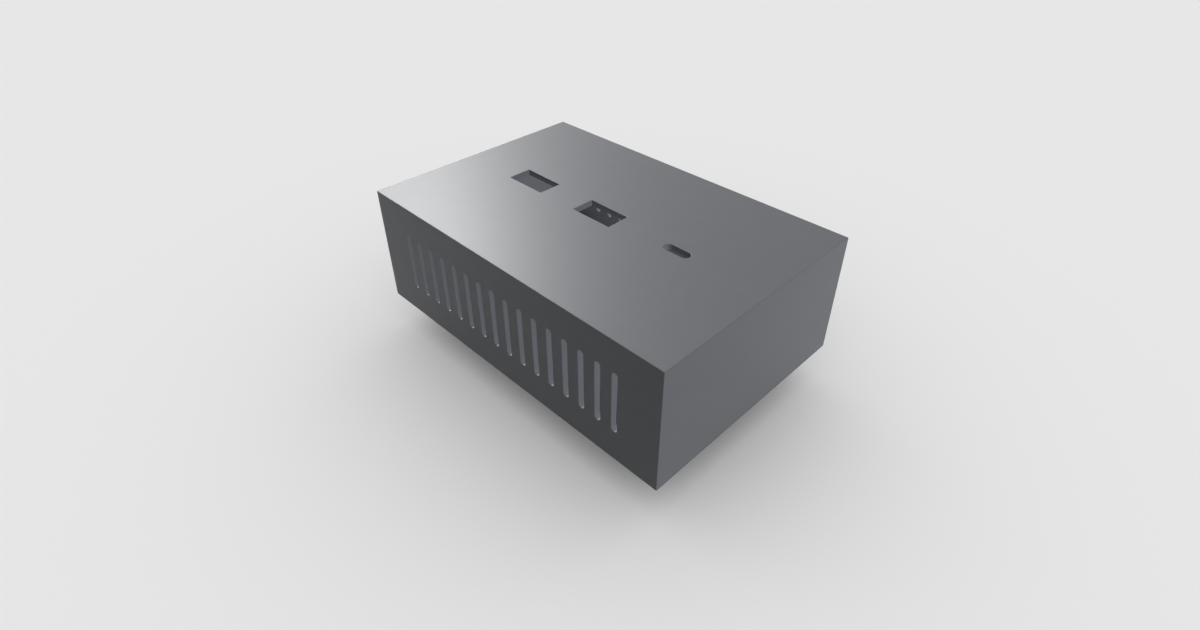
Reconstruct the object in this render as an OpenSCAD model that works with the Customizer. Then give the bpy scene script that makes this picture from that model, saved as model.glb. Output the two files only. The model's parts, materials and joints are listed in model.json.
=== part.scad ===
// DIN rail enclosure: a vented housing, a screwed base cover and a sprung rail clip.
// Millimetres. X runs along the rail, Y across it and Z from the rail up to the port face.
// The origin is at the middle of the footprint, on the plane that the rail hooks stand on.

/* [Case] */
// Length of the case along the rail
case_l = 120; // [110:1:180]
// Width of the case across the rail
case_w = 80; // [76:1:120]
// Height from the bottom edge to the port face
case_h = 40; // [34:1:70]
// Thickness of the housing walls
wall = 2; // [1.6:0.1:3]

/* [Vents] */
// Width of a vent slot
vent_w = 2; // [1.2:0.1:3]
// Height of a vent slot with its round ends
vent_h = 20; // [10:1:24]
// Distance between neighbouring vent slots
vent_pitch = 6; // [5:0.5:10]
// Distance from each end of the case to the nearest vent slot
vent_margin = 15; // [12:1:30]

/* [Ports] */
// Distance between neighbouring port openings
port_pitch = 30; // [20:1:40]
// Length of a wide port opening
wide_port_l = 15; // [12:0.5:18]
// Width of a wide port opening
wide_port_w = 8; // [6:0.5:14]
// Length of the oval port opening
oval_port_l = 9; // [7:0.1:12]
// Width of the oval port opening
oval_port_w = 3.2; // [2.4:0.1:5]

/* [Base cover] */
// Thickness of the base cover
cover_t = 2.5; // [2:0.1:4]
// Width of the ledge in the housing wall that the cover seats on
ledge_w = 1; // [0.6:0.1:1.2]
// Gap between the cover and the housing
cover_gap = 0.15; // [0.1:0.05:0.4]
// Height of the locating ribs on the cover
rib_h = 3; // [2:0.5:5]
// Thickness of the locating ribs
rib_t = 1.6; // [1.2:0.1:2.4]
// Distance that the locating ribs stop short of the bosses
rib_clear = 1.5; // [1:0.5:4]

/* [Board posts] */
// Distance from each end of the case to the board posts
post_inset_x = 15; // [13:1:30]
// Distance from each side of the case to the board posts
post_inset_y = 14; // [12:1:20]
// Height of a board post
post_h = 7; // [7:0.5:14]
// Reach of the webs that brace a board post
web_reach = 2.4; // [1.5:0.1:3]
// Thickness of the webs, and of the ribs between the posts
web_t = 1.2; // [0.8:0.1:2]

/* [Fasteners] */
// Thread diameter of the screws
screw_d = 3; // [2.5:0.1:3.5]
// Length of a cover screw with its head
cover_screw_l = 10; // [9:0.5:14]
// Head diameter of a cover screw
cover_head_d = 5.6; // [5:0.1:6.4]
// Length of a clip screw under its head
clip_screw_l = 7.5; // [6:0.5:8]
// Head diameter of a clip screw
clip_head_d = 5.6; // [5:0.1:7]
// Head height of a clip screw
clip_head_h = 2.2; // [1.6:0.1:3]
// Key size of the hexagon sockets
key_size = 2; // [1.5:0.1:2.5]
// Depth of the hexagon sockets
key_depth = 1.2; // [0.8:0.1:1.5]
// Wall of a brass insert
insert_wall = 0.6; // [0.5:0.1:1]
// Length of a brass insert
insert_l = 6; // [4:0.5:6.5]
// Wall of the plastic round an insert
boss_wall = 1.6; // [1.2:0.1:2.4]
// Depth by which a boss runs into the housing walls
boss_sink = 0.5; // [0.3:0.1:1]
// Room in a bore past the tip of its screw
tip_room = 0.5; // [0.2:0.1:1]
// Gap between a round piece and the bore it sits in
bore_gap = 0.05; // [0.02:0.01:0.1]
// Gap between a screw and a plain hole that it passes through
hole_gap = 0.2; // [0.1:0.05:0.4]

/* [Rail] */
// Width of the rail that the clip grips
rail_w = 35; // [32:0.5:38]
// Thickness of the rail's flange
rail_t = 1; // [0.8:0.1:1.6]
// Play of the flange between the seat and the hooks
rail_play = 0.5; // [0.2:0.1:1]
// Gap beside the rail's edges
rail_gap = 0.3; // [0.1:0.1:0.8]

/* [Rail clip] */
// Length of the clip along the rail
clip_l = 50; // [44:1:70]
// Height of the hooks below the flange
hook_h = 5; // [4:0.5:6]
// Reach of the hooks under the flange
hook_reach = 2.5; // [1.5:0.1:3]
// Upright part of a hook's tip
hook_nose = 1.2; // [0.6:0.1:2]
// Thickness of the fixed hook
hook_t = 6.2; // [5:0.1:9]
// Bevel along the outer bottom edge of the hooks
hook_bevel = 1; // [0.4:0.1:1.5]
// Thickness of the clip's floor above the rail
clip_floor = 2.5; // [2:0.1:4]
// Depth of the relief between the two rail lands
relief_depth = 0.8; // [0.3:0.1:1.2]
// Width of the land that bears on each flange
land_w = 5; // [4:0.5:6]
// Bridge that closes the clip's floor behind the latch
bridge_t = 2.7; // [2:0.1:4]
// Corner radius of the clip seen from above
clip_r = 3; // [1:0.5:5]
// Distance from the clip's ends to its screws
clip_screw_inset = 8; // [6.5:0.5:10]
// Wall left round the pockets that core out the clip
core_wall = 2; // [1.5:0.1:3]

/* [Latch] */
// Travel of the latch from its stop to release
latch_travel = 5; // [4:0.5:6]
// Width of the latch
latch_w = 24; // [18:1:26]
// Height of the channel that the latch slides in
channel_h = 4; // [3.8:0.1:6]
// Gap on each side of the sliding latch
slide_gap = 0.2; // [0.1:0.05:0.4]
// Gap at the stops of the latch
stop_gap = 0.3; // [0.1:0.1:0.5]
// Width of the frame that closes the spring's slot at its inner end
latch_frame = 3; // [2:0.5:5]
// Thickness of the latch's hook leg
leg_t = 4.2; // [3.5:0.1:6]
// Width of the release tab
tab_w = 16; // [12:1:18]
// Distance from the release tab back to the side of the case
tab_inset = 3; // [1:0.5:4]
// Corner radius of the release tab
tab_r = 3; // [1:0.5:5]
// Thickness of the pull lip under the tab's end
pull_t = 1.8; // [1.2:0.1:2.4]
// Height of the pull lip under the tab's end
pull_h = 2.5; // [1:0.5:4]
// Length of the screwdriver slot in the tab
pry_l = 8; // [5:0.5:10]
// Width of the screwdriver slot in the tab
pry_w = 1.8; // [1:0.1:2]

/* [Spring] */
// Outside diameter of the spring
spring_d = 3.2; // [2.8:0.1:3.4]
// Wire diameter of the spring
spring_wire = 0.5; // [0.3:0.05:0.55]
// Length of the spring in the engaged clip
spring_l = 14; // [13:0.5:18]
// Turns of the spring
spring_turns = 9; // [7:1:10]
// Gap at each end of the spring
spring_gap = 0.1; // [0.05:0.05:0.2]
// Gap on each side of the spring
spring_side_gap = 0.4; // [0.3:0.05:0.6]
// Distance from the rail's edge in to the post that the spring pushes against
spring_post_inset = 4; // [3:0.5:6]
// Thickness of the post that the spring pushes against
spring_post_t = 3; // [2:0.1:4]
// Diameter of the pegs inside the spring's ends
peg_d = 1.6; // [1:0.1:1.6]
// Length of the pegs inside the spring's ends
peg_l = 2; // [1:0.1:2.5]

/* [Hidden] */
$fn = 64;

// Depth by which a cutter passes the face that it opens
over = 1;

// Heights of the planes that the pieces share
flange_z = hook_h;
seat_z = flange_z + rail_t + rail_play;
channel_z = seat_z + clip_floor;
case_z = channel_z + channel_h;
cover_z = case_z + cover_t;
roof_z = case_z + case_h - wall;
face_z = case_z + case_h;
post_z = cover_z + post_h;

// Screw bosses in the housing's corners
insert_d = screw_d + 2*insert_wall;
boss_d = insert_d + 2*(bore_gap + boss_wall);
boss_x = case_l/2 - wall - boss_d/2 + boss_sink;
boss_y = case_w/2 - wall - boss_d/2 + boss_sink;
boss_bore_h = max(insert_l, cover_screw_l - cover_t) + tip_room;
cover_head_h = (cover_head_d - screw_d)/2;

// Board posts on the cover
post_x = case_l/2 - post_inset_x;
post_y = case_w/2 - post_inset_y;

// Locating ribs on the cover
rib_x = case_l/2 - wall - cover_gap;
rib_y = case_w/2 - wall - cover_gap;

// Vent row and port row
vent_count = floor((case_l - 2*vent_margin)/vent_pitch) + 1;
vent_z = case_z + case_h/2;

// Rail clip, measured from the rail's middle
edge_y = rail_w/2;
grip_y = edge_y + rail_gap;
tip_y = edge_y - hook_reach;
ramp = hook_h - hook_nose;
clip_y0 = -grip_y - hook_t;
leg_y1 = grip_y + leg_t;
window_y0 = edge_y;
window_y1 = leg_y1 + latch_travel + stop_gap;
clip_y1 = window_y1 + bridge_t;
clip_screw_x = (latch_w/2 + slide_gap + clip_l/2)/2;
clip_screw_ys = [clip_y0 + clip_screw_inset, clip_y1 - clip_screw_inset];
clip_bore_h = clip_screw_l - cover_t + tip_room;

// Latch and spring, along Y
latch_z = channel_z + slide_gap;
latch_t = channel_h - 2*slide_gap;
spring_post_y1 = edge_y - spring_post_inset;
spring_post_y0 = spring_post_y1 - spring_post_t;
slot_y0 = spring_post_y0 - spring_l - 2*spring_gap;
slot_y1 = spring_post_y1 + stop_gap;
latch_y0 = slot_y0 - latch_frame;
channel_y0 = latch_y0 - stop_gap;
tab_y1 = case_w/2 - tab_inset;
slot_w = spring_d + 2*spring_side_gap;
spring_z = channel_z + channel_h/2;

// Colours
case_grey = [0.48, 0.49, 0.51];
clip_grey = [0.20, 0.21, 0.22];
zinc = [0.75, 0.76, 0.78];
brass = [0.80, 0.64, 0.32];

// Mirrors the children to the four corners of a rectangle with these half sizes.
module each_corner(x, y) {
    for (mx = [0, 1], my = [0, 1])
        mirror([mx, 0, 0]) mirror([0, my, 0]) translate([x, y, 0]) children();
}

// Copies the children to the four clip screws.
module each_clip_screw() {
    for (sx = [-1, 1], y = clip_screw_ys)
        translate([sx*clip_screw_x, y, 0]) children();
}

// Block centred on X and Y that stands on its base.
module block(size) {
    translate([-size.x/2, -size.y/2, 0]) cube(size);
}

// Flat slot with round ends, long along X and centred.
module oval(length, width) {
    straight = length - width;
    square([straight, width], center = true);
    for (s = [-1, 1])
        translate([s*straight/2, 0]) circle(d = width);
}

// Rectangle between two Y values, centred on X, with its four corners rounded.
module rounded_plan(width, y0, y1, r) {
    translate([-width/2 + r, y0]) square([width - 2*r, y1 - y0]);
    translate([-width/2, y0 + r]) square([width, y1 - y0 - 2*r]);
    for (sx = [-1, 1], y = [y0 + r, y1 - r])
        translate([sx*(width/2 - r), y]) circle(r = r);
}

// Extrudes a profile drawn as [y, z] along X, centred.
module along_rail(length) {
    rotate([90, 0, 90])
        linear_extrude(length, center = true) children();
}

// Vented shell with its roof, port openings, cover ledge and corner bosses.
module housing() {
    color(case_grey)
    difference() {
        union() {
            difference() {
                translate([0, 0, case_z]) block([case_l, case_w, case_h]);
                translate([0, 0, case_z - over])
                    block([case_l - 2*wall, case_w - 2*wall, case_h - wall + over]);
            }
            each_corner(boss_x, boss_y) corner_boss();
        }
        cover_rebate();
        vent_cutters();
        port_cutters();
        each_corner(boss_x, boss_y)
            translate([0, 0, cover_z - over])
                cylinder(d = insert_d + 2*bore_gap, h = boss_bore_h + over);
    }
}

// Screw boss from the cover's seat up to the roof, filled out into the corner behind it.
module corner_boss() {
    boss_h = face_z - wall/2 - cover_z;
    to_wall = boss_d/2 - boss_sink + wall/2;
    translate([0, 0, cover_z]) {
        cylinder(d = boss_d, h = boss_h);
        cube([to_wall, to_wall, boss_h]);
    }
}

// Recess in the housing's bottom edge that takes the cover.
module cover_rebate() {
    skin = wall - ledge_w;
    translate([0, 0, case_z - over])
        block([case_l - 2*skin, case_w - 2*skin, cover_t + over]);
}

// Row of upright slots through both long walls.
module vent_cutters() {
    for (i = [0 : vent_count - 1])
        translate([(i - (vent_count - 1)/2)*vent_pitch, 0, vent_z])
            rotate([90, 90, 0])
                linear_extrude(case_w + 2*over, center = true) oval(vent_h, vent_w);
}

// Two rectangular openings and an oval one through the roof.
module port_cutters() {
    for (x = [-port_pitch, 0])
        translate([x, 0, roof_z - over]) block([wide_port_l, wide_port_w, wall + 2*over]);
    translate([port_pitch, 0, roof_z - over])
        linear_extrude(wall + 2*over) oval(oval_port_l, oval_port_w);
}

// Plate that closes the housing, with locating ribs, board posts and screw holes.
module base_cover() {
    skin = wall - ledge_w + cover_gap;
    color(case_grey)
    difference() {
        union() {
            translate([0, 0, case_z]) block([case_l - 2*skin, case_w - 2*skin, cover_t]);
            locating_ribs();
            stiffening_ribs();
            each_corner(post_x, post_y) board_post();
        }
        each_corner(boss_x, boss_y) countersunk_hole();
        each_corner(post_x, post_y)
            translate([0, 0, post_z - insert_l - 2*bore_gap])
                cylinder(d = insert_d + 2*bore_gap, h = insert_l + over);
        each_clip_screw()
            translate([0, 0, case_z - over])
                cylinder(d = screw_d + 2*hole_gap, h = cover_t + 2*over);
    }
}

// Ribs that stand just inside the four walls and stop short of the bosses.
module locating_ribs() {
    stop_x = boss_x - boss_d/2 - rib_clear;
    stop_y = boss_y - boss_d/2 - rib_clear;
    for (s = [-1, 1]) {
        translate([0, s*(rib_y - rib_t/2), case_z]) block([2*stop_x, rib_t, cover_t + rib_h]);
        translate([s*(rib_x - rib_t/2), 0, case_z]) block([rib_t, 2*stop_y, cover_t + rib_h]);
    }
}

// Ribs across the cover from post to post.
module stiffening_ribs() {
    for (s = [-1, 1])
        translate([s*post_x, 0, case_z]) block([web_t, 2*post_y, cover_t + rib_h]);
}

// Post for a circuit board's corner, braced by four webs.
module board_post() {
    web_l = boss_d + 2*web_reach;
    translate([0, 0, case_z]) cylinder(d = boss_d, h = cover_t + post_h);
    for (a = [0, 90])
        rotate(a) translate([0, 0, case_z]) block([web_l, web_t, cover_t + post_h/2]);
}

// Clearance hole with a countersink open below.
module countersunk_hole() {
    hole_d = screw_d + 2*hole_gap;
    head_d = cover_head_d + 2*hole_gap;
    translate([0, 0, case_z - over]) cylinder(d = hole_d, h = cover_t + 2*over);
    translate([0, 0, case_z]) cylinder(d1 = head_d, d2 = hole_d, h = cover_head_h);
    translate([0, 0, case_z - over]) cylinder(d = head_d, h = over);
}

// Clip base with the fixed hook, the latch's channel and the spring's post.
module clip_body() {
    channel_w = latch_w + 2*slide_gap;
    color(clip_grey) {
        difference() {
            intersection() {
                along_rail(clip_l) clip_profile();
                linear_extrude(case_z) rounded_plan(clip_l, clip_y0, clip_y1, clip_r);
            }
            translate([-channel_w/2, channel_y0, channel_z])
                cube([channel_w, clip_y1 - channel_y0 + over, channel_h + over]);
            translate([-channel_w/2, window_y0, seat_z - over])
                cube([channel_w, window_y1 - window_y0, clip_floor + 2*over]);
            translate([0, 0, seat_z - over])
                block([clip_l + 2*over, 2*(edge_y - land_w), relief_depth + over]);
            core_pockets(channel_w);
            each_clip_screw()
                translate([0, 0, case_z - clip_bore_h])
                    cylinder(d = screw_d + 2*bore_gap, h = clip_bore_h + over);
        }
        spring_post();
    }
}

// Pockets that keep the clip's walls even: one in each side rail and two behind the fixed hook.
module core_pockets(channel_w) {
    screw_room = screw_d/2 + bore_gap + boss_wall;
    side_x = channel_w/2 + core_wall;
    side_y = clip_screw_ys[0] + screw_room;
    side = [clip_l/2 - core_wall - side_x, clip_screw_ys[1] - screw_room - side_y];
    hook_y = clip_y0 + core_wall;
    hook = [(channel_w - core_wall)/2, channel_y0 - core_wall - hook_y];
    for (m = [0, 1])
        mirror([m, 0, 0]) {
            translate([side_x, side_y, channel_z]) cube([side.x, side.y, channel_h + over]);
            translate([core_wall/2, hook_y, channel_z]) cube([hook.x, hook.y, channel_h + over]);
        }
}

// Side view of the clip base: seat, fixed hook and its lead-in ramp.
module clip_profile() {
    polygon([
        [clip_y0, case_z],
        [clip_y0, hook_bevel],
        [clip_y0 + hook_bevel, 0],
        [-tip_y - ramp, 0],
        [-tip_y, ramp],
        [-tip_y, flange_z],
        [-grip_y, flange_z],
        [-grip_y, seat_z],
        [clip_y1, seat_z],
        [clip_y1, case_z]
    ]);
}

// Post in the channel with a peg that holds the spring's outer end.
module spring_post() {
    post_w = slot_w - 2*spring_side_gap;
    translate([-post_w/2, spring_post_y0, channel_z - clip_floor/2])
        cube([post_w, spring_post_t, channel_h + clip_floor/2]);
    translate([0, spring_post_y0 + spring_post_t/2, spring_z])
        rotate([90, 0, 0]) cylinder(d = peg_d, h = peg_l + spring_post_t/2);
}

// Sliding latch with its hook leg, spring slot and release tab.
module clip_latch() {
    color(clip_grey) {
        difference() {
            intersection() {
                along_rail(latch_w) latch_profile();
                linear_extrude(case_z) latch_plan();
            }
            translate([-slot_w/2, slot_y0, latch_z - over])
                cube([slot_w, slot_y1 - slot_y0, latch_t + 2*over]);
            translate([0, (clip_y1 + tab_y1 - pull_t)/2, latch_z - over])
                linear_extrude(latch_t + 2*over) oval(pry_l, pry_w);
        }
        translate([0, slot_y0 - latch_frame/2, spring_z])
            rotate([-90, 0, 0]) cylinder(d = peg_d, h = peg_l + latch_frame/2);
    }
}

// Side view of the latch: slide, hook leg with its ramp, and pull lip.
module latch_profile() {
    latch_top = latch_z + latch_t;
    polygon([
        [latch_y0, latch_top],
        [latch_y0, latch_z],
        [grip_y, latch_z],
        [grip_y, flange_z],
        [tip_y, flange_z],
        [tip_y, ramp],
        [tip_y + ramp, 0],
        [leg_y1 - hook_bevel, 0],
        [leg_y1, hook_bevel],
        [leg_y1, latch_z],
        [tab_y1 - pull_t, latch_z],
        [tab_y1 - pull_t, latch_z - pull_h],
        [tab_y1, latch_z - pull_h],
        [tab_y1, latch_top]
    ]);
}

// Plan of the latch: a wide slide that narrows to the release tab.
module latch_plan() {
    translate([-latch_w/2, latch_y0]) square([latch_w, clip_y1 - latch_y0]);
    rounded_plan(tab_w, latch_y0, tab_y1, tab_r);
}

// Compression spring along Y with closed end turns.
module latch_spring() {
    steps = 14;
    sides = 6;
    rings = spring_turns*steps;
    mean_r = (spring_d - spring_wire)/2;
    points = [
        for (i = [0 : rings], k = [0 : sides - 1])
            let (
                turn = 360*i/steps,
                side = 360*k/sides,
                r = mean_r + spring_wire/2*cos(side),
                y = coil_rise(i/steps) + spring_wire/2*sin(side)
            )
            [r*cos(turn), y, r*sin(turn)]
    ];
    skin = [
        for (i = [0 : rings - 1], k = [0 : sides - 1])
            let (a = i*sides + k, b = i*sides + (k + 1) % sides)
            [a, a + sides, b + sides, b]
    ];
    first_cap = [for (k = [0 : sides - 1]) k];
    last_cap = [for (k = [sides - 1 : -1 : 0]) rings*sides + k];
    color(zinc)
    translate([0, slot_y0 + spring_gap, spring_z])
        polyhedron(points, concat(skin, [first_cap, last_cap]));
}

// Distance of the wire's centre from the spring's end after a number of turns.
function coil_rise(turns) =
    let (open_l = spring_l - 3*spring_wire, open_turns = spring_turns - 2)
    turns <= 1 ? spring_wire*(0.5 + turns)
    : turns >= spring_turns - 1 ? spring_l - spring_wire*(0.5 + spring_turns - turns)
    : 1.5*spring_wire + open_l*(turns - 1)/open_turns;

// Countersunk screws that hold the cover to the housing.
module cover_screws() {
    color(zinc)
    each_corner(boss_x, boss_y)
        translate([0, 0, case_z])
            difference() {
                union() {
                    cylinder(d1 = cover_head_d, d2 = screw_d, h = cover_head_h);
                    cylinder(d = screw_d, h = cover_screw_l);
                }
                translate([0, 0, -over]) key_socket();
            }
}

// Pan head screws that hold the clip to the cover.
module clip_screws() {
    color(zinc)
    each_clip_screw()
        translate([0, 0, cover_z])
            difference() {
                union() {
                    cylinder(d = clip_head_d, h = clip_head_h);
                    translate([0, 0, -clip_screw_l]) cylinder(d = screw_d, h = clip_screw_l + over);
                }
                translate([0, 0, clip_head_h - key_depth]) key_socket();
            }
}

// Hexagon socket cutter that runs past the head's face.
module key_socket() {
    cylinder(d = key_size/cos(30), h = key_depth + over, $fn = 6);
}

// Threaded brass tube that stands on its lower end.
module insert() {
    color(brass)
    difference() {
        cylinder(d = insert_d, h = insert_l);
        translate([0, 0, -over]) cylinder(d = screw_d + 2*bore_gap, h = insert_l + 2*over);
    }
}

// Inserts in the housing's bosses, level with the cover's seat.
module cover_inserts() {
    each_corner(boss_x, boss_y) translate([0, 0, cover_z]) insert();
}

// Inserts in the board posts, level with their tops.
module board_inserts() {
    each_corner(post_x, post_y) translate([0, 0, post_z - insert_l]) insert();
}

housing();
base_cover();
clip_body();
clip_latch();
latch_spring();
cover_screws();
cover_inserts();
board_inserts();
clip_screws();
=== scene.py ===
# %% [markdown]
# # DIN rail enclosure
# A plain grey moulded case that carries a circuit board on a rail. The solids already have their true
# shape and place, so this lesson only gives them their finish: soft moulded edges, the grain of the
# plastic, the metal of the small parts, and a quiet studio around them.

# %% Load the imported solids
import json
import math

import bmesh
import bpy
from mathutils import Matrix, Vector


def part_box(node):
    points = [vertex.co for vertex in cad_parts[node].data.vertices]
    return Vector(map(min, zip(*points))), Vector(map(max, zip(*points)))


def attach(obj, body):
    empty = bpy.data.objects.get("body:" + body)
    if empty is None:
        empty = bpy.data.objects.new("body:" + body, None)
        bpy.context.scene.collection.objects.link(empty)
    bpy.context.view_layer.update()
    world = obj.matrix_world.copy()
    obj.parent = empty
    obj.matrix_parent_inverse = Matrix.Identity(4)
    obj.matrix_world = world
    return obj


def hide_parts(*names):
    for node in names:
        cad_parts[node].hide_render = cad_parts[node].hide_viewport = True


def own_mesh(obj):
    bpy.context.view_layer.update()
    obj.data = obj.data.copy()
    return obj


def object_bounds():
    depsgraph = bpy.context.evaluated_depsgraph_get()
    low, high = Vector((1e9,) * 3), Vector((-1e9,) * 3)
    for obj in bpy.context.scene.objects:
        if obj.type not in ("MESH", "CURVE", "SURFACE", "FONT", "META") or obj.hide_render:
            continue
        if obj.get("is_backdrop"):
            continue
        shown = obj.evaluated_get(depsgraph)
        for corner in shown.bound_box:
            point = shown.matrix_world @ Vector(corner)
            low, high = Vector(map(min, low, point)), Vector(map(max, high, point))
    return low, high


MM = 0.001
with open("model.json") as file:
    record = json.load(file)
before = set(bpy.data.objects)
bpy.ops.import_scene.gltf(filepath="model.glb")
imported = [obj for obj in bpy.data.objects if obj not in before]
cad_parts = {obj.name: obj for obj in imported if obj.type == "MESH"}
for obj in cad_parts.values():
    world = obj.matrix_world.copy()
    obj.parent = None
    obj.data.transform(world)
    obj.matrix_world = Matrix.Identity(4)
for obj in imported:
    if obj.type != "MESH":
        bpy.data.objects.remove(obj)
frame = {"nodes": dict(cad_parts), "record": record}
cad_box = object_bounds()
print("solids:", ", ".join(sorted(frame["nodes"])))

# %% [markdown]
# ## Camera
# The picture looks down along the diagonal of a cube, so the camera stands the same distance out from
# the middle of the case along X, Y and Z. It could be turned by hand until the picture looks right, but
# a focal length in pixels gives the lens exactly. The optical axis meets the picture a little above its
# middle, which is what the lens shift is for.

# %% Place the camera
IMAGE_W = 1200
FOCAL_PX = 707
AXIS_RAISED_PX = 30
SENSOR_W = 36.0
NEAREST_SEEN = 5 * MM
CAMERA_OUT = 131.5 * MM
VIEW_FROM = Vector((1, -1, 1))


def box_middle(box):
    """The middle of a box that is given by its lowest and highest corners."""
    low, high = (Vector(corner) for corner in box)
    return (low + high) / 2


def add_object(name, data):
    """Puts a mesh, a lamp or a camera into the scene, at the origin."""
    thing = bpy.data.objects.new(name, data)
    bpy.context.scene.collection.objects.link(thing)
    return thing


def add_camera():
    data = bpy.data.cameras.new("camera")
    data.sensor_width = SENSOR_W
    data.lens = SENSOR_W * FOCAL_PX / IMAGE_W
    data.shift_y = -AXIS_RAISED_PX / IMAGE_W
    data.clip_start = NEAREST_SEEN
    camera = add_object("camera", data)
    camera.location = box_middle(cad_box) + VIEW_FROM * CAMERA_OUT
    camera.rotation_euler = (-VIEW_FROM).to_track_quat("-Z", "Y").to_euler()
    bpy.context.scene.camera = camera
    return camera


camera = add_camera()
print("camera at", [round(c / MM, 1) for c in camera.location], "mm, lens", round(camera.data.lens, 2))

# %% [markdown]
# ## Nodes in one line
# Finishes and shapes below are both made of nodes. In the editor a node is added, set and wired by
# hand. In a script that takes many lines for each, so these helpers do it in one: an input takes a plain
# value, or the output of another node.

# %% Helpers for nodes
def plug(tree, node, inputs):
    """Fills a node's inputs with numbers, colours or the outputs of other nodes."""
    for label, value in inputs.items():
        if isinstance(value, bpy.types.NodeSocket):
            tree.links.new(value, node.inputs[label])
        else:
            node.inputs[label].default_value = value


def add_node(tree, kind, inputs=None, **settings):
    """A new node, with its settings made and its inputs filled."""
    node = tree.nodes.new(kind)
    for setting, value in settings.items():
        setattr(node, setting, value)
    plug(tree, node, inputs or {})
    return node


def calc(tree, operation, *values, clamp=False):
    """One sum of numbers and outputs."""
    inputs = dict(enumerate(values))
    node = add_node(tree, "ShaderNodeMath", inputs, operation=operation, use_clamp=clamp)
    return node.outputs["Value"]


print("node helpers:", plug.__name__, add_node.__name__, calc.__name__)

# %% [markdown]
# ## Finishes
# No real surface is one flat colour. A finish here is a shader with a few noises behind it, rather than
# a picture wrapped round the part: noise on Object coordinates is measured in metres, so a grain keeps
# its real size on every wall and needs no unwrapping. The colours are those of the record.

# %% Start a finish
COLOURS = {material["slot"]: material["base_color"] for material in frame["record"]["materials"]}
SOFT_DETAIL = 2.0
FINE_DETAIL = 3.0


def new_finish(name):
    """A new material, with its tree and its shader."""
    material = bpy.data.materials.new(name)
    material.use_nodes = True
    tree = material.node_tree
    return material, tree, tree.nodes["Principled BSDF"]


def noise_on_object(tree, grain, detail=SOFT_DETAIL):
    """Noise whose features are about grain metres across."""
    place = add_node(tree, "ShaderNodeTexCoord").outputs["Object"]
    noise = add_node(tree, "ShaderNodeTexNoise", {"Vector": place, "Scale": 1 / grain, "Detail": detail})
    return noise.outputs["Fac"]


print("record colours:", ", ".join(sorted(COLOURS)))

# %% [markdown]
# ## Drift
# A noise hovers round the middle of its range and seldom comes near 0 or 1. A colour ramp could stretch
# it, but two plain numbers are easier to read: the middle of the noise is mapped to the span that a
# colour or a gloss may drift over.

# %% Let a value drift
NOISE_LOW = 0.3
NOISE_HIGH = 0.7


def spread(tree, noise, low, high):
    """Maps the middle of a noise to a span of values."""
    span = add_node(tree, "ShaderNodeMapRange", {
        "Value": noise, "From Min": NOISE_LOW, "From Max": NOISE_HIGH, "To Min": low, "To Max": high,
    })
    return span.outputs["Result"]


def choose(tree, factor, first, second):
    """Goes from one colour to another as the factor goes from 0 to 1."""
    colours = {"Factor": factor, "A": first, "B": second}
    return add_node(tree, "ShaderNodeMix", colours, data_type="RGBA").outputs["Result"]


def tint(tree, noise, colour, amount):
    """Lets a colour drift darker and lighter by a small amount."""
    dark, light = ([c * (1 + side * amount) for c in colour] + [1.0] for side in (-1, 1))
    return choose(tree, spread(tree, noise, 0, 1), dark, light)


print("noise from", NOISE_LOW, "to", NOISE_HIGH, "fills a span")

# %% [markdown]
# ## Case plastic
# The case is moulded in a mid grey plastic with a satin, finely eroded surface. The grain is far too
# small to model, so it is a bump, from one noise at the size of the grain. Two wider noises let the
# colour and the gloss drift a very little, as they do where the melt cooled unevenly.

# %% Make the case plastic
MELT_DRIFT = 6 * MM
MELT_TINT = 0.015
GLOSS_DRIFT = 3 * MM
GRAIN_HEIGHT = 0.01 * MM
GRAIN_STRENGTH = 0.06
PLASTIC_SHINE = 0.35


def moulded_plastic(name, slot, roughness, grain):
    """A grained plastic in the record's colour, whose roughness drifts between two values."""
    material, tree, shader = new_finish(name)
    bump = add_node(tree, "ShaderNodeBump", {
        "Height": noise_on_object(tree, grain, FINE_DETAIL),
        "Distance": GRAIN_HEIGHT,
        "Strength": GRAIN_STRENGTH,
    })
    melt = noise_on_object(tree, MELT_DRIFT, FINE_DETAIL)
    plug(tree, shader, {
        "Base Color": tint(tree, melt, COLOURS[slot], MELT_TINT),
        "Roughness": spread(tree, noise_on_object(tree, GLOSS_DRIFT), *roughness),
        "Specular IOR Level": PLASTIC_SHINE,
        "Normal": bump.outputs["Normal"],
    })
    return material


satin_grey = moulded_plastic("satin_grey_moulding", "case_plastic", roughness=(0.40, 0.41), grain=0.35 * MM)
print("made", satin_grey.name)

# %% [markdown]
# ## Moulded edges
# No moulding has a perfectly sharp edge. A Bevel modifier could round them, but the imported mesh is
# loose triangles, which it can't follow. So a copy of the solid has its doubles merged and its flat
# triangles joined into faces, and then only its outer edges are rounded. The new strips are cut off
# from the flat faces by sharp edges, so that the flats stay flat in the shading.

# %% Helpers for soft edges
WELD = 0.001 * MM
FLAT = math.radians(0.5)
CRISP = math.radians(40)
SMOOTH = math.radians(30)
ROUND_STEPS = 3
ROUND_PROFILE = 0.5


def round_edges(work, radius):
    """Rounds the outer edges of a merged solid and gives the new strips of faces."""
    crisp = [
        edge for edge in work.edges
        if len(edge.link_faces) == 2 and edge.is_convex and edge.calc_face_angle() > CRISP
    ]
    strips = bmesh.ops.bevel(
        work, geom=crisp, offset=radius, segments=ROUND_STEPS, profile=ROUND_PROFILE,
        affect="EDGES", clamp_overlap=False,
    )
    return {face for face in strips["faces"] if face.is_valid}


def shade_edges(work, rounded):
    """Smooths the faces, with a sharp line where a rounded strip meets a flat."""
    for face in work.faces:
        face.smooth = True
        face.material_index = 0
    for edge in work.edges:
        sides = {face in rounded for face in edge.link_faces}
        edge.smooth = len(sides) == 1 and edge.calc_face_angle(0) < SMOOTH


print("outer edges over", round(math.degrees(CRISP)), "degrees are rounded")

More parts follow.
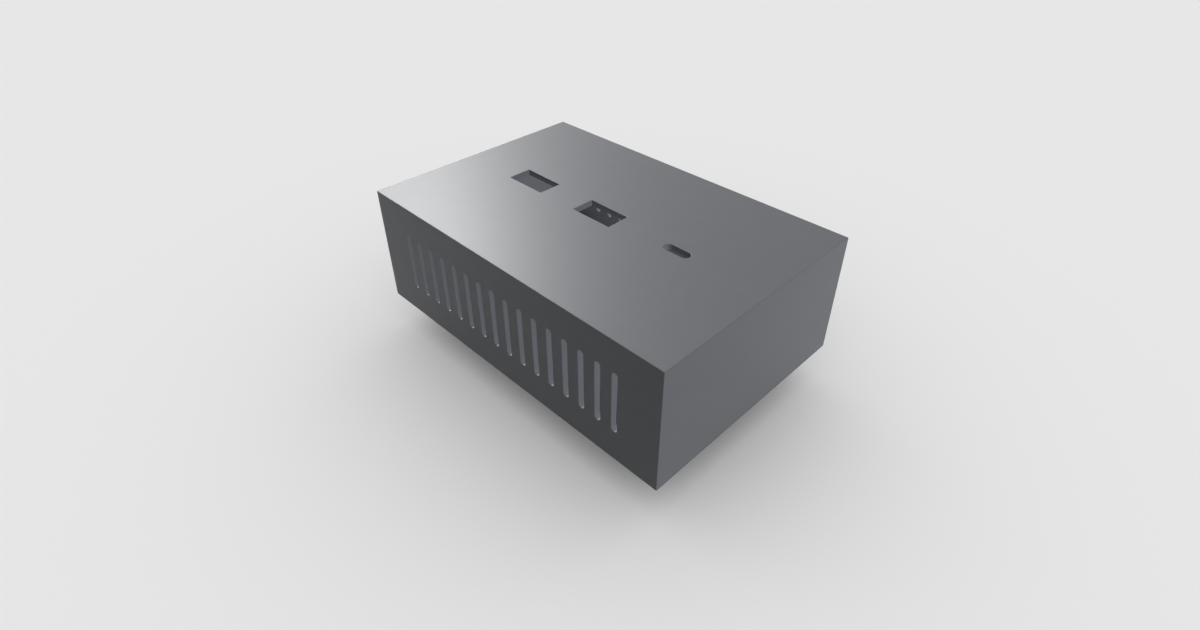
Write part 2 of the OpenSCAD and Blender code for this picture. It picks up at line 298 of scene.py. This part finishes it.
# %% [markdown]
# ## Case
# The case is a housing, moulded with its port face and four walls in one, and the plate that closes its
# open bottom. They could be drawn again here, but then they might not fit. Each is a dressed copy of its
# own solid, which it hides, and it rides on the same body, so it can't drift away from it.

# %% Dress the case
CASE_EDGE = 0.12 * MM


def stand_for(piece, node, body):
    """Hides a solid behind the piece that dresses it, and puts the piece on the same body."""
    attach(piece, body)
    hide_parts(node)


def soft_edged(node, name, radius, finish, body):
    """Dresses a solid with a copy of itself that has rounded edges."""
    work = bmesh.new()
    work.from_mesh(frame["nodes"][node].data)
    bmesh.ops.remove_doubles(work, verts=work.verts, dist=WELD)
    bmesh.ops.dissolve_limit(work, angle_limit=FLAT, verts=work.verts, edges=work.edges)
    shade_edges(work, round_edges(work, radius))
    mesh = bpy.data.meshes.new(name)
    work.to_mesh(mesh)
    work.free()
    mesh.materials.append(finish)
    piece = add_object(name, mesh)
    stand_for(piece, node, body)
    print(name, "has", len(mesh.polygons), "faces")
    return piece


housing_shell = soft_edged("housing", "housing_shell", CASE_EDGE, satin_grey, "case")
cover_plate = soft_edged("base_cover", "cover_plate", CASE_EDGE, satin_grey, "case")

# %% [markdown]
# ## Rail clip
# The clip under the case is moulded in a darker, harder plastic with a matt surface. It is the recipe of
# the case with more roughness and a finer grain, and its edges are a little softer. The latch slides out
# from under the case, so it is a piece of its own and rides on the latch body.

# %% Dress the rail clip
CLIP_EDGE = 0.2 * MM
matt_dark = moulded_plastic("matt_dark_moulding", "clip_plastic", roughness=(0.53, 0.545), grain=0.25 * MM)
soft_edged("clip_body", "rail_clip", CLIP_EDGE, matt_dark, "case")
soft_edged("clip_latch", "release_latch", CLIP_EDGE, matt_dark, "latch")

# %% [markdown]
# ## Small metals
# Spring wire, zinc plate and brass could each have a recipe of their own. At this size the eye only
# tells them apart by colour and gloss, so they share one: a full metal whose tint and gloss drift over
# a few tenths of a millimetre, as they do on a drawn, plated or turned surface.

# %% Make the metals
METAL_GRAIN = 0.2 * MM
METAL_DRIFT = 1.2 * MM
METAL_TINT = 0.04


def small_metal(name, slot, roughness):
    """A bare metal in the record's colour, whose roughness drifts between two values."""
    material, tree, shader = new_finish(name)
    plug(tree, shader, {
        "Base Color": tint(tree, noise_on_object(tree, METAL_DRIFT), COLOURS[slot], METAL_TINT),
        "Roughness": spread(tree, noise_on_object(tree, METAL_GRAIN, FINE_DETAIL), *roughness),
        "Metallic": 1.0,
    })
    return material


drawn_wire = small_metal("drawn_spring_wire", "spring_steel", roughness=(0.26, 0.36))
zinc_plate = small_metal("zinc_plate", "screw_steel", roughness=(0.30, 0.36))
turned_brass = small_metal("turned_brass", "insert_brass", roughness=(0.24, 0.32))
print("made", drawn_wire.name, zinc_plate.name, turned_brass.name)

# %% [markdown]
# ## Geometry Nodes
# The spring follows a path and the fixings repeat. Loops of points could make them, but a node tree
# keeps their sizes as named inputs that can be tried out by hand. These helpers start a tree, and close
# it by setting its shape on a few bare points.

# %% Helpers for the node trees
NUMBER = "NodeSocketFloat"


def new_tree(name, sockets):
    """Starts a tree with named inputs and gives it with the outputs that bring those inputs in."""
    tree = bpy.data.node_groups.new(name, "GeometryNodeTree")
    for label, kind in {"Geometry": "NodeSocketGeometry", **sockets}.items():
        tree.interface.new_socket(label, in_out="INPUT", socket_type=kind)
    tree.interface.new_socket("Geometry", in_out="OUTPUT", socket_type="NodeSocketGeometry")
    return tree, add_node(tree, "NodeGroupInput").outputs


def close_tree(tree, given, shape):
    """Sets the shape on the given points and ends with Realize Instances and Set Material."""
    seats = add_node(tree, "GeometryNodeInstanceOnPoints", {"Points": given["Geometry"], "Instance": shape})
    real = add_node(tree, "GeometryNodeRealizeInstances", {"Geometry": seats.outputs["Instances"]})
    paint = add_node(tree, "GeometryNodeSetMaterial", {
        "Geometry": real.outputs["Geometry"], "Material": given["Finish"],
    })
    add_node(tree, "NodeGroupOutput", {"Geometry": paint.outputs["Geometry"]})


print("tree helpers:", new_tree.__name__, close_tree.__name__)

# %% [markdown]
# ## From a tree to a plain mesh
# A live modifier would run again at every pose, and an export may drop what it makes. So the tree runs
# once: its inputs are set, the evaluated result is copied into a mesh, and the modifier goes.

# %% Run a tree once
FACET = math.radians(20)


def run_tree(name, tree, points, values):
    """Runs a tree on a mesh of bare points and keeps the result as a plain mesh."""
    start = bpy.data.meshes.new(name + "_points")
    start.from_pydata(points, [], [])
    piece = add_object(name, start)
    modifier = piece.modifiers.new(tree.name, "NODES")
    modifier.node_group = tree
    for item in tree.interface.items_tree:
        if item.in_out == "INPUT" and item.name in values:
            modifier[item.identifier] = values[item.name]
    depsgraph = bpy.context.evaluated_depsgraph_get()
    mesh = bpy.data.meshes.new_from_object(piece.evaluated_get(depsgraph), depsgraph=depsgraph)
    piece.modifiers.remove(modifier)
    piece.data = mesh
    mesh.name = name
    mesh.materials.clear()
    mesh.materials.append(values["Finish"])
    mesh.shade_smooth()
    mesh.set_sharp_from_angle(angle=FACET)
    print(name, "has", len(mesh.polygons), "faces")
    return piece


print("edges over", round(math.degrees(FACET)), "degrees stay sharp")

# %% [markdown]
# ## Coil
# A compression spring is a round wire wound into a helix, with its first and last turns lying close so
# that its ends are flat. A Screw modifier winds one even pitch only, so the rise along the axis is
# worked out here: a close turn, the open turns and a close turn, each a ramp that is clamped at its ends.

# %% Work out the rise of the coil
SPRING = {"Wire": 0.5 * MM, "Outer Diameter": 3.2 * MM, "Length": 14 * MM, "Turns": 9.0}
CLOSE_TURNS = 2.0


def coil_rise(tree, given, turn):
    """Height of the wire's middle along the axis, after a number of turns."""
    wire, turns = given["Wire"], given["Turns"]
    first = calc(tree, "ADD", turn, 0.0, clamp=True)
    last = calc(tree, "SUBTRACT", turn, calc(tree, "SUBTRACT", turns, 1.0), clamp=True)
    half_wire = calc(tree, "MULTIPLY", wire, 0.5)
    close = calc(tree, "MULTIPLY_ADD", calc(tree, "ADD", first, last), wire, half_wire)
    open_turns = calc(tree, "SUBTRACT", turns, CLOSE_TURNS)
    past_first = calc(tree, "MAXIMUM", calc(tree, "SUBTRACT", turn, 1.0), 0.0)
    opened = calc(tree, "MINIMUM", past_first, open_turns)
    open_length = calc(tree, "MULTIPLY_ADD", wire, -(CLOSE_TURNS + 1), given["Length"])
    pitch = calc(tree, "DIVIDE", open_length, open_turns)
    return calc(tree, "MULTIPLY_ADD", opened, pitch, close)


print("spring sizes:", ", ".join(SPRING))

# %% [markdown]
# ## Helix
# The middle line of the wire is a straight curve that is cut into many stations, each of which is then
# moved to its place round the axis. A spiral curve could be the start, but it has no close turns.

# %% Bend a line into a helix
COIL_STEPS = 24


def helix(tree, given):
    """A curve that goes round once a turn and climbs along Y."""
    line = add_node(tree, "GeometryNodeCurvePrimitiveLine").outputs["Curve"]
    count = calc(tree, "MULTIPLY", given["Turns"], COIL_STEPS)
    stations = add_node(tree, "GeometryNodeResampleCurve", {"Curve": line, "Count": count})
    along = add_node(tree, "GeometryNodeSplineParameter").outputs["Factor"]
    turn = calc(tree, "MULTIPLY", along, given["Turns"])
    angle = calc(tree, "MULTIPLY", turn, math.tau)
    radius = calc(tree, "MULTIPLY", calc(tree, "SUBTRACT", given["Outer Diameter"], given["Wire"]), 0.5)
    spot = add_node(tree, "ShaderNodeCombineXYZ", {
        "X": calc(tree, "MULTIPLY", calc(tree, "COSINE", angle), radius),
        "Y": coil_rise(tree, given, turn),
        "Z": calc(tree, "MULTIPLY", calc(tree, "SINE", angle), radius),
    })
    bent = add_node(tree, "GeometryNodeSetPosition", {
        "Geometry": stations.outputs["Curve"], "Position": spot.outputs["Vector"],
    })
    return bent.outputs["Geometry"]


print("the helix has", COIL_STEPS, "stations a turn")

# %% [markdown]
# ## Wire
# The bevel of a curve object could thicken the helix into a wire. A ring that is swept along it inside
# the tree keeps the wire's size as an input, and closes its ends with caps.

# %% Sweep the wire
WIRE_SIDES = 10


def coil_tree():
    sizes = {label: NUMBER for label in SPRING}
    tree, given = new_tree("coil", {**sizes, "Finish": "NodeSocketMaterial"})
    ring = add_node(tree, "GeometryNodeCurvePrimitiveCircle", {
        "Resolution": WIRE_SIDES, "Radius": calc(tree, "MULTIPLY", given["Wire"], 0.5),
    })
    wire = add_node(tree, "GeometryNodeCurveToMesh", {
        "Curve": helix(tree, given), "Profile Curve": ring.outputs["Curve"], "Fill Caps": True,
    })
    close_tree(tree, given, wire.outputs["Mesh"])
    return tree


coil = coil_tree()
print("coil tree has", len(coil.nodes), "nodes")

# %% [markdown]
# ## Latch spring
# The spring pushes the latch onto the rail, between the latch and a post on the clip. When the latch is
# pulled, the coil shortens towards that post. A coil that only rode on one body would be cut by the
# other; here it rides on the case.

# %% Wind the latch spring
def wind_spring():
    middle = box_middle(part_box("latch_spring"))
    half = Vector((0, SPRING["Length"] / 2, 0))
    piece = run_tree("latch_coil", coil, [middle - half], {**SPRING, "Finish": drawn_wire})
    stand_for(piece, "latch_spring", "case")
    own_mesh(piece)


wind_spring()

# %% [markdown]
# ## Key socket
# A key turns each screw by a six-sided socket in its head. It could be cut by a Boolean, which leaves
# ragged faces round it. Instead some rings of the profile are six-sided: a formula gives the distance
# from the axis to the flat wall in every direction. Turned parts are measured in millimetres here, as on
# a drawing.

# %% Shape the key socket
SIX_SIDED = "six-sided"
KEY_ACROSS = 2.0
SOCKET_DEPTH = 1.2
SOCKET_RIM_R = 1.25
SOCKET_RIM_H = 0.12


def key_radius(angle):
    """Distance from the axis to the key socket's wall in one direction."""
    sixth = math.tau / 6
    return KEY_ACROSS / 2 / math.cos(angle % sixth - sixth / 2)


def key_socket(face, inward):
    """Stations from the axis, at the bottom of a key socket, out to the rim in the head's face."""
    bottom, rim = face + inward * SOCKET_DEPTH, face + inward * SOCKET_RIM_H
    return [(0, bottom, 0), (SIX_SIDED, bottom, 0), (SIX_SIDED, rim, 0), (SOCKET_RIM_R, face, 0)]


print("the key socket's corners lie", round(key_radius(0), 3), "mm from the axis")

# %% [markdown]
# ## Turned blanks
# Screws and brass inserts are turned on a lathe, so they are made as a lathe makes them: a profile of
# radius and height is spun into a blank. A Screw modifier could spin it, but here a ring may also be
# six-sided, for a key, and each station says how deep a tool will cut there.

# %% Spin a blank
SIDES = 36


def spin(name, stations):
    """Spins stations of (radius, height, cut), in millimetres, into a blank."""
    work = bmesh.new()
    cut_layer = work.verts.layers.float.new("cut")
    rings = []
    for radius, height, cut in stations:
        ring = []
        for k in range(SIDES):
            angle = math.tau * k / SIDES
            r = (key_radius(angle) if radius == SIX_SIDED else radius) * MM
            vert = work.verts.new((r * math.cos(angle), r * math.sin(angle), height * MM))
            vert[cut_layer] = cut
            ring.append(vert)
        rings.append(ring)
    for low, high in zip(rings, rings[1:]):
        for k in range(SIDES):
            work.faces.new((low[k], low[k - 1], high[k - 1], high[k]))
    bmesh.ops.remove_doubles(work, verts=work.verts, dist=WELD)
    bmesh.ops.recalc_face_normals(work, faces=work.faces)
    mesh = bpy.data.meshes.new(name)
    work.to_mesh(mesh)
    work.free()
    print(name, "blank has", len(mesh.polygons), "faces")
    return add_object(name, mesh)


print("a blank has", SIDES, "sides")

# %% [markdown]
# ## Profiles
# A profile runs along the part's surface from the axis out and back. Stretches that get a thread or a
# knurl have close stations, because the tool can only move points that are there. The rest are a few
# stations at the corners, with a row of them round a soft edge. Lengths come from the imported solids.

# %% Helpers for the profiles
def node_height(node):
    """Height of a solid's box, in millimetres."""
    low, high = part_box(node)
    return (high.z - low.z) / MM


def cut_rows(radius, low, high, step):
    """Stations for a stretch that the tool cuts, with a plain ring at each end."""
    count = round((high - low) / step)
    inner = [(radius, low + (high - low) * i / count, 1.0) for i in range(1, count)]
    return [(radius, low, 0.0), *inner, (radius, high, 0.0)]


def quarter_round(radius, height, r):
    """Stations round an edge, from its side to its top."""
    angles = [math.pi / 2 * i / ROUND_STEPS for i in range(ROUND_STEPS + 1)]
    return [(radius - r + r * math.cos(a), height - r + r * math.sin(a), 0.0) for a in angles]


for turned in ("cover_screws", "clip_screws", "cover_inserts"):
    print(turned, "are", round(node_height(turned), 2), "mm long")

# %% [markdown]
# ## Cover screws
# Four countersunk screws hold the cover from below, with their heads flush in its bottom. A cylinder and
# a cone could be joined, but one profile has no seam: key socket, flat face, thin rim, cone, threaded
# shank and tip.

# %% Spin the cover screw
SHANK_R = 1.5
TIP_R = 1.15
TIP_L = 0.4
HEAD_R = 2.8
RIM_LAND = 0.2
RIM_EDGE = 0.08
RIM_DROP = 0.06
THREAD_PITCH = 0.5
ROWS_A_PITCH = 6
THREAD_STEP = THREAD_PITCH / ROWS_A_PITCH

cover_screw_l = node_height("cover_screws")
cover_screw = spin("cover_screw", [
    *key_socket(0, 1),
    (HEAD_R - RIM_LAND, 0, 0), (HEAD_R - RIM_EDGE, RIM_DROP, 0),
    *cut_rows(SHANK_R, HEAD_R - SHANK_R, cover_screw_l - TIP_L, THREAD_STEP),
    (TIP_R, cover_screw_l, 0), (0, cover_screw_l, 0),
])

# %% [markdown]
# ## Clip screws
# Four pan head screws go down from inside the case and hold the clip. They have the shank and the key
# socket of the cover screws, so those stretches are used again. Only the head differs: a drum with a
# rounded top.

# %% Spin the clip screw
PAN_HEAD_H = 2.2
PAN_ROUND = 0.6
PAN_EDGE = 0.05
RUN_OUT = 0.1

pan_top = node_height("clip_screws")
pan_seat = pan_top - PAN_HEAD_H
clip_screw = spin("clip_screw", [
    (0, 0, 0), (TIP_R, 0, 0),
    *cut_rows(SHANK_R, TIP_L, pan_seat - RUN_OUT, THREAD_STEP),
    (SHANK_R, pan_seat, 0), (HEAD_R - PAN_EDGE, pan_seat, 0), (HEAD_R, pan_seat + PAN_EDGE, 0),
    *quarter_round(HEAD_R, pan_top, PAN_ROUND),
    *reversed(key_socket(pan_top, -1)),
])

# %% [markdown]
# ## Inserts
# A brass insert is pressed into a hot plastic boss to give it a metal thread. Its outside has a plain
# pilot that finds the hole, and two knurled bands with a groove between them, so that the plastic
# grips it against turning and pulling out. One profile serves both sets of inserts.

# %% Spin the insert
INSERT_R = 2.1
BORE_R = 1.55
BORE_CHAMFER = 0.15
PILOT_STEP = 0.15
PILOT_L = 0.8
LOWER_BAND_END = 2.7
UPPER_BAND = (3.4, 5.7)
GROOVE_STEP = 0.2
GROOVE_EASE = 0.1
END_EASE = 0.1
KNURL_STEP = 0.1

insert_l = node_height("cover_inserts")
insert = spin("insert", [
    (BORE_R + END_EASE, 0, 0), (INSERT_R - PILOT_STEP, 0, 0), (INSERT_R - PILOT_STEP, PILOT_L, 0),
    *cut_rows(INSERT_R, PILOT_L, LOWER_BAND_END, KNURL_STEP),
    (INSERT_R - GROOVE_STEP, LOWER_BAND_END + GROOVE_EASE, 0),
    (INSERT_R - GROOVE_STEP, UPPER_BAND[0] - GROOVE_EASE, 0),
    *cut_rows(INSERT_R, *UPPER_BAND, KNURL_STEP),
    (INSERT_R - END_EASE, insert_l, 0), (BORE_R + BORE_CHAMFER, insert_l, 0),
    (BORE_R, insert_l - BORE_CHAMFER, 0), (BORE_R, BORE_CHAMFER, 0), (BORE_R + END_EASE, 0, 0),
])

# %% [markdown]
# ## Threads and knurls
# A thread and a knurl are the same cut, grooves that climb as they go round: one groove makes a thread,
# and many that cross make a knurl. They could be bump, but then the outline of a screw would still be
# straight, so the blank's own points move inward.

# %% Helpers for the cuts
def groove(tree, given, around, climb, direction):
    """Depth of the nearest groove, from 0 to 1, where the grooves climb one way round the axis."""
    path = calc(tree, "MULTIPLY_ADD", around, direction, climb)
    phase = calc(tree, "FRACT", calc(tree, "MULTIPLY", path, given["Grooves"]))
    saw = calc(tree, "SUBTRACT", phase, 0.5)
    return calc(tree, "MULTIPLY", calc(tree, "ABSOLUTE", saw), 2.0)


def push_inward(tree, where, depth):
    """Offset towards the Z axis by a depth."""
    flat = add_node(tree, "ShaderNodeVectorMath", {0: where, 1: (1, 1, 0)}, operation="MULTIPLY")
    outward = add_node(tree, "ShaderNodeVectorMath", {0: flat.outputs["Vector"]}, operation="NORMALIZE")
    inward = add_node(tree, "ShaderNodeVectorMath", {0: outward.outputs["Vector"]}, operation="SCALE")
    plug(tree, inward, {"Scale": calc(tree, "MULTIPLY", depth, -1.0)})
    return inward.outputs["Vector"]


THREAD = {"Grooves": 1.0, "Lead": THREAD_PITCH * MM, "Depth": 0.25 * MM, "Crossed": 0.0}
KNURL = {"Grooves": 18.0, "Lead": 12 * MM, "Depth": 0.15 * MM, "Crossed": 1.0}
print("cut sizes:", ", ".join(THREAD))

# %% [markdown]
# ## One tree for every turned part
# Each kind of part could have a tree of its own. Here one tree takes a blank, asks each of its points
# how far round and how far up it is, and pushes it in by the depth of the groove there, where the blank
# lets the tool cut. Its inputs make it a thread or a knurl.

# %% Plan the cuts
def turning_tree():
    sizes = {label: NUMBER for label in THREAD}
    tree, given = new_tree("turned_parts", {
        "Blank": "NodeSocketObject", **sizes, "Finish": "NodeSocketMaterial",
    })
    blank = add_node(tree, "GeometryNodeObjectInfo", {"Object": given["Blank"]}).outputs["Geometry"]
    where = add_node(tree, "GeometryNodeInputPosition").outputs["Position"]
    split = add_node(tree, "ShaderNodeSeparateXYZ", {"Vector": where}).outputs
    around = calc(tree, "DIVIDE", calc(tree, "ARCTAN2", split["Y"], split["X"]), math.tau)
    climb = calc(tree, "DIVIDE", split["Z"], given["Lead"])
    crossing = calc(tree, "MULTIPLY", groove(tree, given, around, climb, 1.0), given["Crossed"])
    deepest = calc(tree, "MAXIMUM", groove(tree, given, around, climb, -1.0), crossing)
    share = add_node(tree, "GeometryNodeInputNamedAttribute", {"Name": "cut"}, data_type="FLOAT")
    here = calc(tree, "MULTIPLY", deepest, share.outputs["Attribute"])
    depth = calc(tree, "MULTIPLY", here, given["Depth"])
    cut = add_node(tree, "GeometryNodeSetPosition", {
        "Geometry": blank, "Offset": push_inward(tree, where, depth),
    })
    close_tree(tree, given, cut.outputs["Geometry"])
    return tree


turning = turning_tree()
print("turning tree has", len(turning.nodes), "nodes")

# %% [markdown]
# ## Fixings in place
# Each kind of fixing stands at the corners of a rectangle. Its places could be written down once more,
# but the box round the four solids already gives them, so the two can't disagree. The blanks have then
# done their work and go.

# %% Set the turned parts
def four_axes(node, radius):
    """The feet of four equal turned parts, from the box around all of them."""
    low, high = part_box(node)
    xs, ys = (low.x + radius, high.x - radius), (low.y + radius, high.y - radius)
    return [(x, y, low.z) for x in xs for y in ys]


def set_parts(node, name, blank, radius, tool, finish):
    """Cuts four equal parts from a blank and stands them on the axes of the solids."""
    points = four_axes(node, radius * MM)
    parts = run_tree(name, turning, points, {**tool, "Blank": blank, "Finish": finish})
    stand_for(parts, node, "case")


set_parts("cover_screws", "cover_screw_set", cover_screw, HEAD_R, THREAD, zinc_plate)
set_parts("clip_screws", "clip_screw_set", clip_screw, HEAD_R, THREAD, zinc_plate)
set_parts("cover_inserts", "cover_insert_set", insert, INSERT_R, KNURL, turned_brass)
set_parts("board_inserts", "board_insert_set", insert, INSERT_R, KNURL, turned_brass)
for blank in (cover_screw, clip_screw, insert):
    bpy.data.objects.remove(blank)

# %% [markdown]
# ## What a ray is for
# Light Path tells a shader who is looking. The floor and the air use it to look pale in the picture and
# in reflections, and still to throw little light on the case. A brighter room could do the first, but
# not the second.

# %% Tell rays apart
def grey(value):
    """A neutral colour."""
    return (value, value, value, 1.0)


def seen_directly(tree):
    """One for rays from the camera, a reflection or a transmission, and none for scattered light."""
    path = add_node(tree, "ShaderNodeLightPath").outputs
    mirrored = calc(tree, "MAXIMUM", path["Is Glossy Ray"], path["Is Transmission Ray"])
    return calc(tree, "MAXIMUM", path["Is Camera Ray"], mirrored)


print("ray helpers:", grey.__name__, seen_directly.__name__)

# %% [markdown]
# ## Floor
# The floor is a plain pale paint, on one large square. More light could make it whiter, but would wash
# out the case as well, so its paint is pale where it is seen and dark to scattered light, which keeps the
# near side of the case in its own shade.

# %% Lay the floor
FLOOR_SIZE = 12.0
FLOOR_PAINT = 0.90
FLOOR_BOUNCE = 0.05


def add_floor():
    mesh = bpy.data.meshes.new("floor")
    half = FLOOR_SIZE / 2
    corners = [(-half, -half, 0), (half, -half, 0), (half, half, 0), (-half, half, 0)]
    mesh.from_pydata(corners, [], [(0, 1, 2, 3)])
    material, tree, shader = new_finish("floor_paint")
    paint = choose(tree, seen_directly(tree), grey(FLOOR_BOUNCE), grey(FLOOR_PAINT))
    plug(tree, shader, {"Base Color": paint, "Roughness": 1.0, "Specular IOR Level": 0.0})
    mesh.materials.append(material)
    floor = add_object("floor", mesh)
    floor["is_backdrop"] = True
    return floor


floor = add_floor()
print("floor of", FLOOR_SIZE, "m")

# %% [markdown]
# ## What each light may reach
# Light linking tells a lamp which things it lights. The floor has a light of its own and is left out of
# the others, so its paleness never depends on how the case is lit. A light that casts no shadow goes
# through walls as well: on the cover plate it would make the openings look shallow. So such lights leave
# that plate out, and two of them, one overhead and one inside, are for the housing alone.

# %% Make the light linking rules
def light_rule(name, things, state):
    """A collection that tells a lamp to light only these things, or all but these."""
    rule = bpy.data.collections.new(name)
    for thing in things:
        rule.objects.link(thing)
    for member in rule.collection_objects:
        member.light_linking.link_state = state
    print("rule", name, "names", len(things), "to", state.lower())
    return rule


floor_only = light_rule("floor_only", [floor], "INCLUDE")
all_but_floor = light_rule("all_but_floor", [floor], "EXCLUDE")
outer_walls = light_rule("outer_walls", [floor, cover_plate], "EXCLUDE")
housing_only = light_rule("housing_only", [housing_shell], "INCLUDE")

# %% [markdown]
# ## Lamps
# A sun gives the whole case light from one side, and its angle says how soft it is. A panel or a disk
# gives light that falls off. One helper makes them all: each lamp says what it may reach, where its light
# comes from and whether the case shades it.

# %% Helpers for the lamps
CASE_MIDDLE = box_middle(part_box("housing"))


def add_lamp(name, kind, came_from, strength, receivers, spot=(0, 0, 0), **settings):
    """A lamp at a spot reckoned from the middle of the case."""
    data = bpy.data.lights.new(name, kind)
    data.energy = strength
    for setting, value in settings.items():
        setattr(data, setting, value)
    lamp = add_object(name, data)
    lamp.location = CASE_MIDDLE + Vector(spot)
    lamp.rotation_euler = came_from.to_track_quat("Z", "Y").to_euler()
    lamp.light_linking.receiver_collection = receivers
    print(name, "has strength", strength)
    return lamp


def add_sun(name, came_from, strength, receivers, angle, shadow):
    """Even light from far off, whose source looks angle degrees wide."""
    wide = math.radians(angle)
    return add_lamp(name, "SUN", came_from, strength, receivers, angle=wide, use_shadow=shadow)


ABOVE = Vector((0, 0, 1))
print("lamps are set from", [round(c / MM, 1) for c in CASE_MIDDLE], "mm")

# %% [markdown]
# ## Light on the case
# The port face is bright at its far left corner and falls away to the right, so the key light comes
# from behind the left end, low enough to glance off the satin plastic towards the camera. A weaker,
# slightly cooler light fills the right end, and a softbox hangs overhead. These cast no shadow, so that
# they also show the walls of the vents. The fill is left out of reflections, where it would show as a
# bright spot.

# %% Light the case
KEY_FROM = Vector((-0.716, 0.375, 0.589))
FILL_FROM = Vector((0.90, -0.08, 0.33))
FILL_TINT = (0.97, 0.99, 1.03)
SOFTBOX_UP = 0.87
SOFTBOX = {"spot": ABOVE * SOFTBOX_UP, "shape": "DISK", "size": 0.7, "use_shadow": False}

add_sun("key", KEY_FROM, strength=1.9, receivers=outer_walls, angle=8, shadow=False)
fill = add_sun("fill", FILL_FROM, strength=1.3, receivers=outer_walls, angle=20, shadow=False)
fill.data.color = FILL_TINT
fill.visible_glossy = False
add_lamp("softbox", "AREA", ABOVE, strength=0.9, receivers=housing_only, **SOFTBOX)

# %% [markdown]
# ## Light in the openings
# An empty case looks black through its openings, though some light always finds its way in. Many bounces
# could bring it there, but slowly and with noise. Two faint panels inside do it at once: one leans over
# the near side and shows the far wall through the ports, and one at the right end shows the walls of the
# vents. They are out of sight themselves, and out of reflections.

# %% Light the openings
PORT_GLOW = {"shape": "RECTANGLE", "size": 100 * MM, "size_y": 30 * MM}
PORT_GLOW_SPOT = Vector((0, -15, 3)) * MM
PORT_GLOW_FROM = Vector((0, -1, 1))
VENT_GLOW = {"shape": "RECTANGLE", "size": 70 * MM, "size_y": 30 * MM, "use_shadow": False}
VENT_GLOW_SPOT = Vector((56, 0, 0)) * MM
VENT_GLOW_FROM = Vector((1, 0, 0))

port_glow = add_lamp(
    "port_glow", "AREA", PORT_GLOW_FROM, strength=0.010, receivers=all_but_floor,
    spot=PORT_GLOW_SPOT, **PORT_GLOW,
)
vent_glow = add_lamp(
    "vent_glow", "AREA", VENT_GLOW_FROM, strength=0.005, receivers=housing_only,
    spot=VENT_GLOW_SPOT, **VENT_GLOW,
)
for panel in (port_glow, vent_glow):
    panel.visible_camera = False
    panel.visible_glossy = False

# %% [markdown]
# ## Light on the floor
# One more wide light, straight above, is for the floor alone. The case shades it, so it leaves a soft
# shadow round the foot of the case, and the floor keeps its tone when the lights on the case change.

# %% Light the floor
WASH_STRENGTH = 2.6
add_sun("floor_wash", ABOVE, strength=WASH_STRENGTH, receivers=floor_only, angle=150, shadow=True)

# %% [markdown]
# ## Air
# The air is what is seen past the floor and mirrored in the case. A picture of a room could be wrapped
# round the scene, but a plain sweep keeps the reflections calm. It is exactly as pale as the lit floor,
# so that no line shows where they meet, and in reflections it dims higher up, like a room with a dark
# ceiling. As light on the case it counts for very little. The Standard view then shows every tone as the
# lights give it.

# %% Fill the air
AIR_DIM = 0.30
AIR_SCATTER = 0.06
AIR_PALE = FLOOR_PAINT * (WASH_STRENGTH / math.pi + AIR_SCATTER)
DIM_FROM = 0.15
DIM_TO = 0.45


def fill_air():
    world = bpy.data.worlds.new("studio_air")
    world.use_nodes = True
    tree = world.node_tree
    direction = add_node(tree, "ShaderNodeTexCoord").outputs["Generated"]
    height = add_node(tree, "ShaderNodeSeparateXYZ", {"Vector": direction}).outputs["Z"]
    rise = add_node(tree, "ShaderNodeMapRange", {
        "Value": height, "From Min": DIM_FROM, "From Max": DIM_TO,
    }, interpolation_type="SMOOTHSTEP").outputs["Result"]
    in_picture = add_node(tree, "ShaderNodeLightPath").outputs["Is Camera Ray"]
    dimming = calc(tree, "SUBTRACT", rise, in_picture, clamp=True)
    seen = choose(tree, dimming, grey(AIR_PALE), grey(AIR_DIM))
    air = choose(tree, seen_directly(tree), grey(AIR_SCATTER), seen)
    plug(tree, tree.nodes["Background"], {"Color": air})
    bpy.context.scene.world = world


fill_air()
bpy.context.scene.view_settings.view_transform = "Standard"
print("the floor and the horizon shine at", round(AIR_PALE, 3))

# %% [markdown]
# ## Measure
# The finish must not change the size of the case, so the box of the bare solids and the box of the
# dressed pieces are written side by side.

# %% Measure and finish
sizes = {
    "cad": [list(corner) for corner in cad_box],
    "visual": [list(corner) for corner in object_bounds()],
}
for label, (low, high) in sizes.items():
    print(label, "box", [round((b - a) / MM, 2) for a, b in zip(low, high)], "mm")
